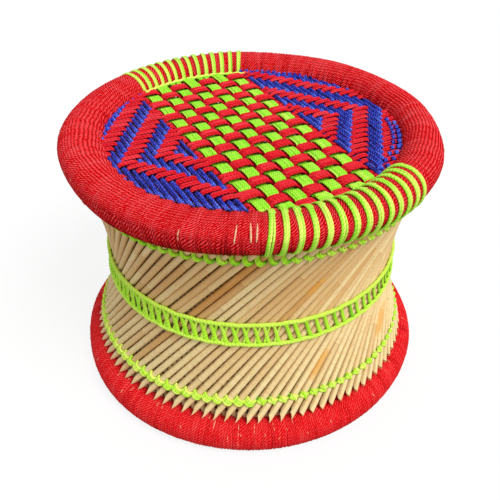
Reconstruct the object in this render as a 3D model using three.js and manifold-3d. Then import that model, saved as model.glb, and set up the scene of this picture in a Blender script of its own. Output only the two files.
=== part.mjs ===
// A round woven stool of the mudda kind. Two layers of reeds lean opposite ways between a wound base
// ring and a wound rim, and cords are woven across the rim as the seat.
// Millimetres, +Z up. The origin is the centre of the footprint on the ground. The seat's warps run
// along Y and its wefts along X.
import * as THREE from "three";
import { mergeVertices } from "three/addons/utils/BufferGeometryUtils.js";
import Module from "manifold-3d";

const wasm = await Module();
wasm.setup();

// Base ring: a bundle of grass, wound with cord and worn flat underneath
const BASE_OUTER_R = 231.5;
const BASE_TUBE_R = 20.5;
const BASE_FLAT_DEPTH = 0.8;

// Rim: the same bundle and winding, a little taller than it is wide
const RIM_OUTER_R = 225;
const RIM_HALF_WIDTH = 23.2;
const RIM_HALF_HEIGHT = 24;
const RIM_CENTRE_Z = 314;

// The winding on both rings, two layers of cord, and the slit that its ends leave on the inner side
const WRAP_THICKNESS = 2.8;
const WRAP_SLIT = 1.2;

// Reeds: pointed at the foot and cut square at the head in the outer layer, plain in the inner one
const REEDS_PER_LAYER = 100;
const REED_R = 4.25;
const REED_TIP_LENGTH = 17;
const TIP_OFFSET_SHARE = 0.7;
const REED_TURN = THREE.MathUtils.degToRad(57);
const FOOT_OUTSET = 0.6;
const HEAD_OUTSET = 2.2;

// Split-bamboo hoops between the layers, at both rows of ties and at the waist
const HOOP_THICKNESS = 3.6;
const HOOP_HEIGHT = 7;
const HOOP_BITE = 1.1;
const LOWER_TIE_Z = 68;
const WAIST_BAND_Z = 161;
const UPPER_TIE_Z = 276;

// Twine: the two rows of ties, and the band of two cords with lacing between them at the waist
const TWINE_R = 1.3;
const TIE_HEIGHT = 6;
const WAIST_BAND_HALF_HEIGHT = 14;
const LACING_WIDTH = 2;
const LACING_THICKNESS = 1.4;
const LACING_PERIODS = 50;

// Green winding over the rim at both ends of the warps
const WINDING_LOOPS = 14;
const WINDING_STEP = THREE.MathUtils.degToRad(3.6);
const WINDING_WIDTH = 6.8;
const WINDING_THICKNESS = 1.4;
const WINDING_CLEARANCE = 0.7;
const WINDING_END = 2.5;

// Seat: flat green warps, round-backed red wefts, and a closely woven blue web at each side. The warps
// lie a little towards -X. The first weft is pressed against the rim, and the last leaves room for the
// loops of the warps.
const SEAT_Z = 316.5;
const WARPS_X = -6;
const FIRST_WEFT_EDGE = 3;
const LAST_WEFT_EDGE = 20;
const WARP_COUNT = 7;
const WARP_PITCH = 21;
const WARP_WIDTH = 15;
const WARP_THICKNESS = 1.6;
const WEFT_PITCH = 20.3;
const WEFT_WIDTH = 11.5;
const WEFT_THICKNESS = 2.6;
const WEB_THICKNESS = 4.6;
const WEB_INSET = 6.8;

// Clearances, and how close two corners of a mesh are when they count as one
const SEAT_CLEARANCE = 0.35;
const OVERRUN = 5;
const MERGE_DISTANCE = 1e-4;

// Facets
const RING_FACETS = 36;
const TWINE_FACETS = 30;
const BUNDLE_SIDES = 6;
const WRAP_SIDES = 12;
const REEDS_PER_FACET = 2;
const OUTER_REED_SIDES = 5;
const INNER_REED_SIDES = 4;
const WEB_ARC_FACETS = 12;
const TRIMMER_FACETS = 60;

// Colours, roughness and metalness
const FINISHES = {
  red_cord: [0xc8141c, 0.55],
  green_cord: [0x74e010, 0.5],
  blue_cord: [0x2030b0, 0.55],
  reed: [0xd6b070, 0.6],
  bamboo: [0xb98e54, 0.65],
  grass: [0xc9a868, 0.9],
};

// Places that several pieces share
const baseCentreR = BASE_OUTER_R - BASE_TUBE_R;
const baseCentreZ = BASE_TUBE_R - BASE_FLAT_DEPTH;
const baseTopZ = baseCentreZ + BASE_TUBE_R;
const rimCentreR = RIM_OUTER_R - RIM_HALF_WIDTH;
const rimInnerR = rimCentreR - RIM_HALF_WIDTH;
const windingRise = WINDING_CLEARANCE + WINDING_THICKNESS;
const footZ = baseTopZ + SEAT_CLEARANCE;
const headZ = RIM_CENTRE_Z - RIM_HALF_HEIGHT - windingRise - SEAT_CLEARANCE;

// The point of a tip lies towards the outer side of its reed, and as much lower as the base ring is there
const tipOffset = REED_R * TIP_OFFSET_SHARE;
const tipDrop = tipOffset * Math.tan(Math.PI / WRAP_SIDES);

// Plain helpers

function signedVolume(positions, index) {
  const a = new THREE.Vector3();
  const b = new THREE.Vector3();
  const c = new THREE.Vector3();
  let volume = 0;
  for (let i = 0; i < index.length; i += 3) {
    a.fromArray(positions, 3 * index[i]);
    b.fromArray(positions, 3 * index[i + 1]);
    c.fromArray(positions, 3 * index[i + 2]);
    volume += a.dot(b.cross(c)) / 6;
  }
  return volume;
}

// One closed shell with shared vertices and its faces pointing out
function shell(geometry) {
  const bare = new THREE.BufferGeometry();
  bare.setAttribute("position", geometry.getAttribute("position").clone());
  if (geometry.index) bare.setIndex(geometry.index.clone());
  const merged = mergeVertices(bare, MERGE_DISTANCE);
  const index = Array.from(merged.index.array);
  const whole = [];
  for (let i = 0; i < index.length; i += 3) {
    const [a, b, c] = [index[i], index[i + 1], index[i + 2]];
    if (a !== b && b !== c && c !== a) whole.push(a, b, c);
  }
  if (signedVolume(merged.getAttribute("position").array, whole) < 0) {
    whole.reverse();
  }
  merged.setIndex(whole);
  return merged;
}

function toSolid(geometry) {
  const closed = shell(geometry);
  return new wasm.Manifold(new wasm.Mesh({
    numProp: 3,
    vertProperties: new Float32Array(closed.getAttribute("position").array),
    triVerts: new Uint32Array(closed.index.array),
  }));
}

function toGeometry(solid) {
  const mesh = solid.getMesh();
  const geometry = new THREE.BufferGeometry();
  geometry.setAttribute("position", new THREE.BufferAttribute(mesh.vertProperties, 3));
  geometry.setIndex(Array.from(mesh.triVerts));
  return geometry;
}

function meshOf(points, index) {
  const geometry = new THREE.BufferGeometry().setFromPoints(points);
  geometry.setIndex(index);
  return geometry;
}

const stool = new THREE.Group();

function addPiece(name, finish, geometry) {
  const [color, roughness] = FINISHES[finish];
  const material = new THREE.MeshStandardMaterial({ color, roughness, metalness: 0 });
  const closed = shell(geometry);
  closed.computeVertexNormals();
  const mesh = new THREE.Mesh(closed, material);
  mesh.name = name;
  stool.add(mesh);
  return mesh;
}

// A profile in radius and height turned round the Z axis
function revolve(profile, facets) {
  const closed = [...profile, profile[0]].map(([r, z]) => new THREE.Vector2(r, z));
  return new THREE.LatheGeometry(closed, facets).rotateX(Math.PI / 2);
}

// How far a ring of flat facets stands inside its circle at an angle. Facet corners start at +Y.
function facetShare(angle, facets) {
  const step = 2 * Math.PI / facets;
  const fromCorner = THREE.MathUtils.euclideanModulo(angle - Math.PI / 2, step);
  return Math.cos(step / 2) / Math.cos(fromCorner - step / 2);
}

const flatShare = (facets) => Math.cos(Math.PI / facets);

function polar(radius, angle, z) {
  return new THREE.Vector3(radius * Math.cos(angle), radius * Math.sin(angle), z);
}

// Rings: an oval section from one side of the slit round to the other. The slit faces the axis.
function oval(centreR, centreZ, halfWidth, halfHeight, sides, slit = 0) {
  const halfSlit = Math.asin(slit / 2 / halfWidth);
  const points = [];
  const count = slit > 0 ? sides + 1 : sides;
  for (let i = 0; i < count; i += 1) {
    const share = i / sides;
    const angle = Math.PI + halfSlit + share * 2 * (Math.PI - halfSlit);
    points.push([centreR + halfWidth * Math.cos(angle), centreZ + halfHeight * Math.sin(angle)]);
  }
  return points;
}

// The part of a section that lies above a height, with a flat where it is cut off
function cutBelow(points, lowestZ) {
  const kept = [];
  points.forEach((point, i) => {
    const next = points[(i + 1) % points.length];
    if (point[1] >= lowestZ) kept.push(point);
    if ((point[1] < lowestZ) !== (next[1] < lowestZ)) {
      const share = (lowestZ - point[1]) / (next[1] - point[1]);
      kept.push([point[0] + share * (next[0] - point[0]), lowestZ]);
    }
  });
  return kept;
}

function addRing(name, centreR, centreZ, halfWidth, halfHeight, lowestZ) {
  const skin = WRAP_THICKNESS;
  const outside = oval(centreR, centreZ, halfWidth, halfHeight, WRAP_SIDES, WRAP_SLIT);
  const inside = oval(centreR, centreZ, halfWidth - skin, halfHeight - skin, BUNDLE_SIDES, WRAP_SLIT);
  const section = [...cutBelow(outside, lowestZ), ...inside.reverse()];
  addPiece(`${name}_winding`, "red_cord", revolve(section, RING_FACETS));
  const fit = skin + SEAT_CLEARANCE;
  const bundle = oval(centreR, centreZ, halfWidth - fit, halfHeight - fit, BUNDLE_SIDES);
  addPiece(`${name}_bundle`, "grass", revolve(bundle, RING_FACETS));
}

// Reeds: the straight lines of each layer make a waisted body. turn is positive where a reed leans
// anticlockwise on its way up.
function layer(footR, headR, turn) {
  const foot = polar(footR, 0, footZ);
  const head = polar(headR, turn, headZ);
  const at = (z) => foot.clone().lerp(head, (z - footZ) / (headZ - footZ));
  const centreR = (z) => Math.hypot(at(z).x, at(z).y);
  // How much longer a thickness square to the layer is when it is measured level, where the layer flares
  const flare = (z) => Math.hypot(1, (centreR(z + REED_R) - centreR(z - REED_R)) / (2 * REED_R));
  const reach = (z) => REED_R * flare(z);
  return {
    footR,
    headR,
    turn,
    turnAt: (z) => Math.atan2(at(z).y, at(z).x),
    flare,
    outerFaceR: (z) => centreR(z) + reach(z),
    innerFaceR: (z) => centreR(z) - reach(z),
  };
}

function waistR(footR, headR, turn) {
  const across = Math.sqrt(footR ** 2 + headR ** 2 - 2 * footR * headR * Math.cos(turn));
  return footR * headR * Math.sin(turn) / across;
}

const outerFootR = baseCentreR + FOOT_OUTSET;
const outerHeadR = rimCentreR + HEAD_OUTSET;
const outerLayer = layer(outerFootR, outerHeadR, REED_TURN);

const layerStep = 2 * REED_R + HOOP_THICKNESS - HOOP_BITE + SEAT_CLEARANCE;
const innerFootR = outerFootR - layerStep * outerLayer.flare(footZ);
const innerHeadR = outerHeadR - layerStep * outerLayer.flare(headZ);
const innerWaistR = waistR(outerFootR, outerHeadR, REED_TURN) - layerStep;
const innerTurn = Math.acos(innerWaistR / innerFootR) + Math.acos(innerWaistR / innerHeadR);
const innerLayer = layer(innerFootR, innerHeadR, -innerTurn);

// One reed as corner lines along its axis: cut level at the head, and level or to a point at the foot
function reedGeometry(footPoint, headPoint, sides, pointed) {
  const axis = headPoint.clone().sub(footPoint).normalize();
  const middle = footPoint.clone().add(headPoint);
  const outward = new THREE.Vector3(middle.x, middle.y, 0);
  outward.addScaledVector(axis, -outward.dot(axis)).normalize();
  const sideways = axis.clone().cross(outward);
  const levelCut = (point, z) => point.clone().addScaledVector(axis, (z - point.z) / axis.z);
  const around = (i) => {
    const angle = Math.PI + i * 2 * Math.PI / sides;
    return footPoint.clone()
      .addScaledVector(outward, REED_R * Math.cos(angle))
      .addScaledVector(sideways, REED_R * Math.sin(angle));
  };
  const points = [];
  for (let i = 0; i < sides; i += 1) {
    points.push(levelCut(around(i), headZ));
  }
  for (let i = 0; i < sides; i += 1) {
    const start = around(i);
    points.push(pointed ? start.addScaledVector(axis, REED_TIP_LENGTH) : levelCut(start, footZ));
  }
  const index = [];
  for (let i = 0; i < sides; i += 1) {
    const next = (i + 1) % sides;
    index.push(i, sides + i, sides + next, i, sides + next, next);
  }
  for (let i = 1; i < sides - 1; i += 1) {
    index.push(0, i, i + 1);
  }
  if (pointed) {
    const edge = footPoint.clone().addScaledVector(outward, tipOffset);
    points.push(levelCut(edge, footZ - tipDrop));
    for (let i = 0; i < sides; i += 1) {
      index.push(sides + i, 2 * sides, sides + (i + 1) % sides);
    }
  } else {
    for (let i = 1; i < sides - 1; i += 1) {
      index.push(sides, sides + i + 1, sides + i);
    }
  }
  const geometry = meshOf(points, index);
  return geometry;
}

// A hoop is a strip whose inner and outer faces follow what it lies between
function hoopGeometry(innerR, outerR, z, facets) {
  const low = z - HOOP_HEIGHT / 2;
  const high = z + HOOP_HEIGHT / 2;
  const profile = [[innerR(low), low], [outerR(low), low], [outerR(high), high], [innerR(high), high]];
  return revolve(profile, facets);
}

// All reeds of a layer and the hoop that they are bound to. Each facet of the hoop carries its reeds
// side by side, clear of its corners.
function addLayer(name, made, sides, pointed, hoop, hoopZ) {
  let solid = toSolid(hoop);
  const pitch = 2 * Math.PI / REEDS_PER_LAYER;
  for (let i = 0; i < REEDS_PER_LAYER; i += 1) {
    const atHoop = Math.PI / 2 + (i + 0.5) * pitch;
    const angle = atHoop - made.turnAt(hoopZ);
    const foot = polar(made.footR, angle, footZ);
    const head = polar(made.headR, angle + made.turn, headZ);
    solid = solid.add(toSolid(reedGeometry(foot, head, sides, pointed)));
  }
  addPiece(name, "reed", toGeometry(solid));
}

function addReeds() {
  const fusedFacets = REEDS_PER_LAYER / REEDS_PER_FACET;
  const clearOfInner = (facets) => (z) => (innerLayer.outerFaceR(z) + SEAT_CLEARANCE) / flatShare(facets);
  const clearOfOuter = (z) => outerLayer.innerFaceR(z) - SEAT_CLEARANCE;
  const intoInner = (z) => innerLayer.outerFaceR(z) - HOOP_BITE;
  const intoOuter = (z) => outerLayer.innerFaceR(z) + HOOP_BITE;
  const waistHoop = hoopGeometry(clearOfInner(fusedFacets), intoOuter, WAIST_BAND_Z, fusedFacets);
  const upperHoop = hoopGeometry(intoInner, clearOfOuter, UPPER_TIE_Z, fusedFacets);
  const lowerHoop = hoopGeometry(clearOfInner(RING_FACETS), clearOfOuter, LOWER_TIE_Z, RING_FACETS);
  addLayer("outer_reeds", outerLayer, OUTER_REED_SIDES, true, waistHoop, WAIST_BAND_Z);
  addLayer("inner_reeds", innerLayer, INNER_REED_SIDES, false, upperHoop, UPPER_TIE_Z);
  addPiece("lower_hoop", "bamboo", lowerHoop);
}

// Twine round the outside of the reeds
function twineFaceR(z) {
  return (outerLayer.outerFaceR(z) + SEAT_CLEARANCE) / flatShare(TWINE_FACETS);
}

function addTie(name, z) {
  const half = TIE_HEIGHT / 2;
  const profile = [
    [twineFaceR(z - half), z - half],
    [twineFaceR(z) + 2 * TWINE_R, z],
    [twineFaceR(z + half), z + half],
  ];
  addPiece(name, "green_cord", revolve(profile, TWINE_FACETS));
}

function addWaistCord(name, z) {
  const r = Math.max(twineFaceR(z - TWINE_R), twineFaceR(z + TWINE_R)) + TWINE_R;
  const profile = [[r - TWINE_R, z], [r, z - TWINE_R], [r + TWINE_R, z], [r, z + TWINE_R]];
  addPiece(name, "green_cord", revolve(profile, TWINE_FACETS));
}

// The lacing runs up and down between the two cords. Its corners lie in upright planes, so each is a
// mitre that is taller than the strand is wide.
function addLacing() {
  const corners = 2 * LACING_PERIODS;
  const step = 2 * Math.PI / corners;
  const room = WAIST_BAND_HALF_HEIGHT - TWINE_R - SEAT_CLEARANCE;
  const faceR = Math.max(twineFaceR(WAIST_BAND_Z - room), twineFaceR(WAIST_BAND_Z + room));
  const run = faceR * step;
  const mitre = LACING_WIDTH / 2 * Math.hypot(run, 2 * room) / run;
  const reach = room - mitre;
  const points = [];
  const index = [];
  for (let i = 0; i < corners; i += 1) {
    const z = WAIST_BAND_Z + (i % 2 === 0 ? -reach : reach);
    const angle = i * step;
    points.push(
      polar(faceR, angle, z - mitre),
      polar(faceR + LACING_THICKNESS, angle, z),
      polar(faceR, angle, z + mitre),
    );
    const next = 3 * ((i + 1) % corners);
    for (let side = 0; side < 3; side += 1) {
      const other = (side + 1) % 3;
      const here = 3 * i;
      index.push(here + side, next + side, next + other, here + side, next + other, here + other);
    }
  }
  const geometry = meshOf(points, index);
  addPiece("waist_lacing", "green_cord", geometry);
}

// Windings: a flat band of cord that goes round and round the rim, one unbroken length. Its steps fall
// on the corners of the rim's section, and it follows the rim's facets. Both ends are tucked underneath.
function windingGeometry(middleAngle) {
  const stepsPerLoop = WRAP_SIDES;
  const steps = WINDING_LOOPS * stepsPerLoop;
  const frames = [];
  for (let i = 0; i <= steps; i += 1) {
    const section = -Math.PI / 2 + i * 2 * Math.PI / stepsPerLoop;
    const angle = middleAngle + (i / stepsPerLoop - WINDING_LOOPS / 2) * WINDING_STEP;
    const facet = facetShare(angle, RING_FACETS);
    const at = (rise) => {
      const r = rimCentreR + (RIM_HALF_WIDTH + rise) * Math.cos(section);
      return polar(r * facet, angle, RIM_CENTRE_Z + (RIM_HALF_HEIGHT + rise) * Math.sin(section));
    };
    frames.push({ near: at(WINDING_CLEARANCE), far: at(windingRise), angle });
  }
  const across = (angle) => polar(WINDING_WIDTH / 2, angle + Math.PI / 2, 0);
  const centres = frames.map(({ near, far }) => near.clone().lerp(far, 0.5));
  const points = [];
  const addRingOf = ({ near, far, angle }, shift) => {
    const half = across(angle);
    for (const [corner, side] of [[near, -1], [far, -1], [far, 1], [near, 1]]) {
      points.push(corner.clone().addScaledVector(half, side).add(shift));
    }
  };
  // The ends run straight on, square to the band's own section
  const straightOn = ({ near, far, angle }, from, to) => {
    const run = far.clone().sub(near).cross(across(angle)).setLength(WINDING_END);
    return run.multiplyScalar(Math.sign(run.dot(to.clone().sub(from))));
  };
  const none = new THREE.Vector3();
  const startRun = straightOn(frames[0], centres[1], centres[0]);
  const endRun = straightOn(frames[steps], centres[steps - 1], centres[steps]);
  addRingOf(frames[0], startRun);
  frames.forEach((frame) => addRingOf(frame, none));
  addRingOf(frames[steps], endRun);
  const rings = points.length / 4;
  const index = [0, 2, 1, 0, 3, 2];
  for (let ring = 0; ring < rings - 1; ring += 1) {
    const here = 4 * ring;
    for (let side = 0; side < 4; side += 1) {
      const other = (side + 1) % 4;
      index.push(here + side, here + 4 + other, here + 4 + side);
      index.push(here + side, here + other, here + 4 + other);
    }
  }
  const last = 4 * (rings - 1);
  index.push(last, last + 1, last + 2, last, last + 2, last + 3);
  const geometry = meshOf(points, index);
  return { geometry, frames, stepsPerLoop };
}

// The least gap between a winding's edge and the edge of the next loop
function leastGap({ frames, stepsPerLoop }) {
  let least = Infinity;
  for (let i = 0; i + stepsPerLoop < frames.length; i += 1) {
    const apart = frames[i].near.distanceTo(frames[i + stepsPerLoop].near);
    least = Math.min(least, apart - WINDING_WIDTH);
  }
  return least;
}

function addWinding(name, middleAngle) {
  const winding = windingGeometry(middleAngle);
  console.log(`${name}: least gap to itself ${leastGap(winding).toFixed(2)} mm`);
  addPiece(name, "green_cord", winding.geometry);
}

// Seat. A strand is the side outline of its rise and fall, extruded to its width. crossings are the
// places along it where another strand passes, and over says whether it goes over there.
const levelRise = (WARP_THICKNESS + WEFT_THICKNESS) / 4 + SEAT_CLEARANCE / 2;

function strandGeometry(crossings, halfOther, lineStart, lineEnd, thickness, width) {
  const line = [];
  crossings.forEach(({ at, over }, i) => {
    const rise = over ? levelRise : -levelRise;
    const start = i === 0 ? lineStart : at - halfOther;
    const end = i === crossings.length - 1 ? lineEnd : at + halfOther;
    line.push([start, rise], [end, rise]);
  });
  const outline = new THREE.Shape();
  outline.moveTo(line[0][0], line[0][1] - thickness / 2);
  for (const [along, rise] of line.slice(1)) {
    outline.lineTo(along, rise - thickness / 2);
  }
  for (const [along, rise] of line.reverse()) {
    outline.lineTo(along, rise + thickness / 2);
  }
  outline.closePath();
  const geometry = new THREE.ExtrudeGeometry(outline, { depth: width, steps: 1, bevelEnabled: false });
  return geometry.translate(0, 0, -width / 2);
}

const middleOut = (i, count, pitch) => (i - (count - 1) / 2) * pitch;
const goesOver = (warp, weft) => (warp + weft) % 2 === 1;
const windingInnerR = (rimInnerR - windingRise) * flatShare(RING_FACETS);
const seatR = windingInnerR - SEAT_CLEARANCE;
const weftCount = 1 + Math.floor((2 * seatR - FIRST_WEFT_EDGE - LAST_WEFT_EDGE) / WEFT_PITCH);
const warpX = (warp) => WARPS_X + middleOut(warp, WARP_COUNT, WARP_PITCH);
const weftY = (weft) => FIRST_WEFT_EDGE - seatR + weft * WEFT_PITCH;
const weaveHalfWidth = middleOut(WARP_COUNT - 1, WARP_COUNT, WARP_PITCH) + WARP_WIDTH / 2 + WEB_INSET;

function addWarps(trimmed) {
  for (let warp = 0; warp < WARP_COUNT; warp += 1) {
    const crossings = [];
    for (let weft = 0; weft < weftCount; weft += 1) {
      crossings.push({ at: weftY(weft), over: goesOver(warp, weft) });
    }
    const strand = strandGeometry(
      crossings, WEFT_WIDTH / 2 + SEAT_CLEARANCE, -seatR - OVERRUN, seatR + OVERRUN,
      WARP_THICKNESS, WARP_WIDTH,
    );
    strand.rotateX(Math.PI / 2).rotateZ(Math.PI / 2).translate(warpX(warp), 0, SEAT_Z);
    addPiece(`green_warp_${warp + 1}`, "green_cord", trimmed(strand));
  }
}

function addWefts(trimmed) {
  const halfLength = weaveHalfWidth - SEAT_CLEARANCE;
  for (let weft = 0; weft < weftCount; weft += 1) {
    const crossings = [];
    for (let warp = 0; warp < WARP_COUNT; warp += 1) {
      crossings.push({ at: warpX(warp), over: !goesOver(warp, weft) });
    }
    const strand = strandGeometry(
      crossings, WARP_WIDTH / 2 + SEAT_CLEARANCE, WARPS_X - halfLength, WARPS_X + halfLength,
      WEFT_THICKNESS, WEFT_WIDTH,
    );
    strand.rotateX(Math.PI / 2).translate(0, weftY(weft), SEAT_Z);
    const number = String(weft + 1).padStart(2, "0");
    addPiece(`red_weft_${number}`, "red_cord", trimmed(strand));
  }
}

// A web's outer edge follows the rim, and steps in where a green winding stands in its way
function addWeb(name, side) {
  const webR = rimInnerR * flatShare(RING_FACETS) - SEAT_CLEARANCE;
  const edgeX = weaveHalfWidth + side * WARPS_X;
  const windingHalfAngle = WINDING_LOOPS * WINDING_STEP / 2 + (WINDING_WIDTH / 2 + SEAT_CLEARANCE) / seatR;
  const freeAngle = Math.PI / 2 - windingHalfAngle;
  const steppedIn = Math.acos(edgeX / webR) > freeAngle;
  const halfArc = steppedIn ? freeAngle : Math.acos(edgeX / webR);
  const corners = [];
  for (let i = 0; i <= WEB_ARC_FACETS; i += 1) {
    corners.push(polar(webR, (2 * i / WEB_ARC_FACETS - 1) * halfArc, 0));
  }
  if (steppedIn) {
    const step = polar(seatR, freeAngle, 0);
    const end = polar(seatR, Math.acos(edgeX / seatR), 0);
    corners.push(step, end);
    corners.unshift(new THREE.Vector3(end.x, -end.y, 0), new THREE.Vector3(step.x, -step.y, 0));
  }
  const outline = new THREE.Shape(corners.map(({ x, y }) => new THREE.Vector2(side * x, y)));
  const web = new THREE.ExtrudeGeometry(outline, { depth: WEB_THICKNESS, steps: 1, bevelEnabled: false });
  addPiece(name, "blue_cord", web.translate(0, 0, SEAT_Z - WEB_THICKNESS / 2));
}

function addSeat() {
  const trimmer = toSolid(
    new THREE.CylinderGeometry(seatR, seatR, 2 * WEFT_PITCH, TRIMMER_FACETS)
      .rotateX(Math.PI / 2)
      .translate(0, 0, SEAT_Z),
  );
  const trimmed = (geometry) => toGeometry(toSolid(geometry).intersect(trimmer));
  addWarps(trimmed);
  addWefts(trimmed);
  addWeb("blue_web_right", 1);
  addWeb("blue_web_left", -1);
}

addRing("base", baseCentreR, baseCentreZ, BASE_TUBE_R, BASE_TUBE_R, 0);
addRing("rim", rimCentreR, RIM_CENTRE_Z, RIM_HALF_WIDTH, RIM_HALF_HEIGHT, 0);
addReeds();
addTie("lower_tie", LOWER_TIE_Z);
addTie("upper_tie", UPPER_TIE_Z);
addWaistCord("waist_cord_lower", WAIST_BAND_Z - WAIST_BAND_HALF_HEIGHT);
addWaistCord("waist_cord_upper", WAIST_BAND_Z + WAIST_BAND_HALF_HEIGHT);
addLacing();
addWinding("green_winding_front", -Math.PI / 2);
addWinding("green_winding_back", Math.PI / 2);
addSeat();

export default stool;
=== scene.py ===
"""Looks of the mudda stool: wound rings, leaning reeds, lashings and the woven seat.

Lengths are millimetres, as in the part's own source, and a mesh is made in metres. Angles of the
rings start at +X. A section angle of 0 faces away from the axis, and 90 degrees is the top.
"""
import math

import bpy
import numpy as np
from mathutils import Matrix


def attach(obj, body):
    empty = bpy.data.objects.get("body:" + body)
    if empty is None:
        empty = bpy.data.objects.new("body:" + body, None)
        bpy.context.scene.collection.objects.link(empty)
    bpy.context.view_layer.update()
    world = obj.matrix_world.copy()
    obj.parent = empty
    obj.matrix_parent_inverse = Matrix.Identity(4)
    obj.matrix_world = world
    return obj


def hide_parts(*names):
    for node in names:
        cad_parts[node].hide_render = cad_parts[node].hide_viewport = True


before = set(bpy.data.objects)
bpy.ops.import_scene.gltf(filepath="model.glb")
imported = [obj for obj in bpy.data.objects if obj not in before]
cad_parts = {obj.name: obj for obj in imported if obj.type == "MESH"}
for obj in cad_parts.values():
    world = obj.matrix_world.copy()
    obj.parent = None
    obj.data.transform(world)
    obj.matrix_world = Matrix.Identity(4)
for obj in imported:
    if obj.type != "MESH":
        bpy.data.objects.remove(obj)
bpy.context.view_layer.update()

MM = 0.001
TAU = 2 * math.pi
UP = np.array([0.0, 0.0, 1.0])

# Places and sizes that the solids of the part have
BASE_R, BASE_Z, BASE_TUBE = 211.0, 19.7, 20.5
RIM_R, RIM_Z, RIM_HALF_W, RIM_HALF_H = 201.8, 314.0, 23.2, 24.0
REEDS = 100
REED_RADIUS = 4.25
FOOT_Z, HEAD_Z = 40.55, 287.55
OUTER_FOOT_R, OUTER_HEAD_R, OUTER_TURN = 211.6, 204.0, math.radians(57.0)
INNER_FOOT_R, INNER_HEAD_R, INNER_TURN = 199.3, 191.9, math.radians(-57.8)
LOWER_TIE_Z, WAIST_Z, UPPER_TIE_Z = 68.0, 161.0, 276.0
WAIST_HALF = 14.0
SEAT_Z = 316.5
SEAT_R = 175.5
RIM_INNER_R = 178.6
WARPS_X, WARP_PITCH, WARP_COUNT = -6.0, 21.0, 7
WEFT_PITCH, WEFT_COUNT, FIRST_WEFT_Y = 20.3, 17, -172.48
WEB_LEFT_X, WEB_RIGHT_X = -83.3, 71.3
LOOPS = 14

# The green windings lie a little off the even places that their solids have
LOOP_STEP = math.radians(3.65)
FRONT_MIDDLE, BACK_MIDDLE = math.radians(-88.3), math.radians(90.6)

# Length of one twist of a cord
TWIST = 4.1

# Chance for all that has no seed of its own
rng = np.random.default_rng(20)


# Vectors

def unit(v):
    return v / np.maximum(np.linalg.norm(v, axis=-1, keepdims=True), 1e-9)


def polar(r, angle, z):
    r, angle, z = np.broadcast_arrays(r, angle, z)
    return np.stack([r * np.cos(angle), r * np.sin(angle), z], axis=-1).astype(float)


def wrapped(angle):
    """Angles, in radians, brought to between -180 and 180 degrees."""
    return (angle + np.pi) % TAU - np.pi


def ring_degrees(angle):
    """The same in degrees, for choosing a part of the ring."""
    return np.degrees(wrapped(angle))


def ripple(angle, section, waves, amount, seed):
    """Smooth wander over a ring, closed both ways. Each of waves is the least and most waves round the
    ring, and the most round the section."""
    local = np.random.default_rng(seed)
    total = 0.0
    for low, high, across in waves:
        for _ in range(4):
            turns = local.integers(low, high)
            side = local.integers(-across, across + 1)
            total = total + np.sin(turns * angle + side * section + local.uniform(0, TAU))
    return amount * total / math.sqrt(2.0 * len(waves))


def eased(x, knots, levels):
    """Levels at knots, joined by smooth steps."""
    knots, levels = np.asarray(knots, float), np.asarray(levels, float)
    at = np.clip(np.searchsorted(knots, x) - 1, 0, len(knots) - 2)
    share = np.clip((x - knots[at]) / np.maximum(knots[at + 1] - knots[at], 1e-6), 0, 1)
    return levels[at] + (levels[at + 1] - levels[at]) * (1 - np.cos(np.pi * share)) / 2


# The handmade waist is narrower at one side: where that is, how far it spreads, and by how much
NARROW_MIDDLE, NARROW_SPREAD, NARROW_DEPTH = math.radians(165), math.radians(38), 4.6


def drawn_in(points):
    """Points of the body, moved in at its narrower side, and less so near the foot."""
    x, y, z = points.T
    side = np.exp(-wrapped(np.arctan2(y, x) - NARROW_MIDDLE) ** 2 / NARROW_SPREAD ** 2)
    share = np.interp(z, [40, 150], [0.35, 1.0])
    shrink = 1 - NARROW_DEPTH * side * share / np.maximum(np.hypot(x, y), 1.0)
    return np.stack([x * shrink, y * shrink, z], -1)


# Meshes

def grid(*counts):
    """Row and column numbers of a grid of faces."""
    return np.meshgrid(*[np.arange(count) for count in counts], indexing="ij")


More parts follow.
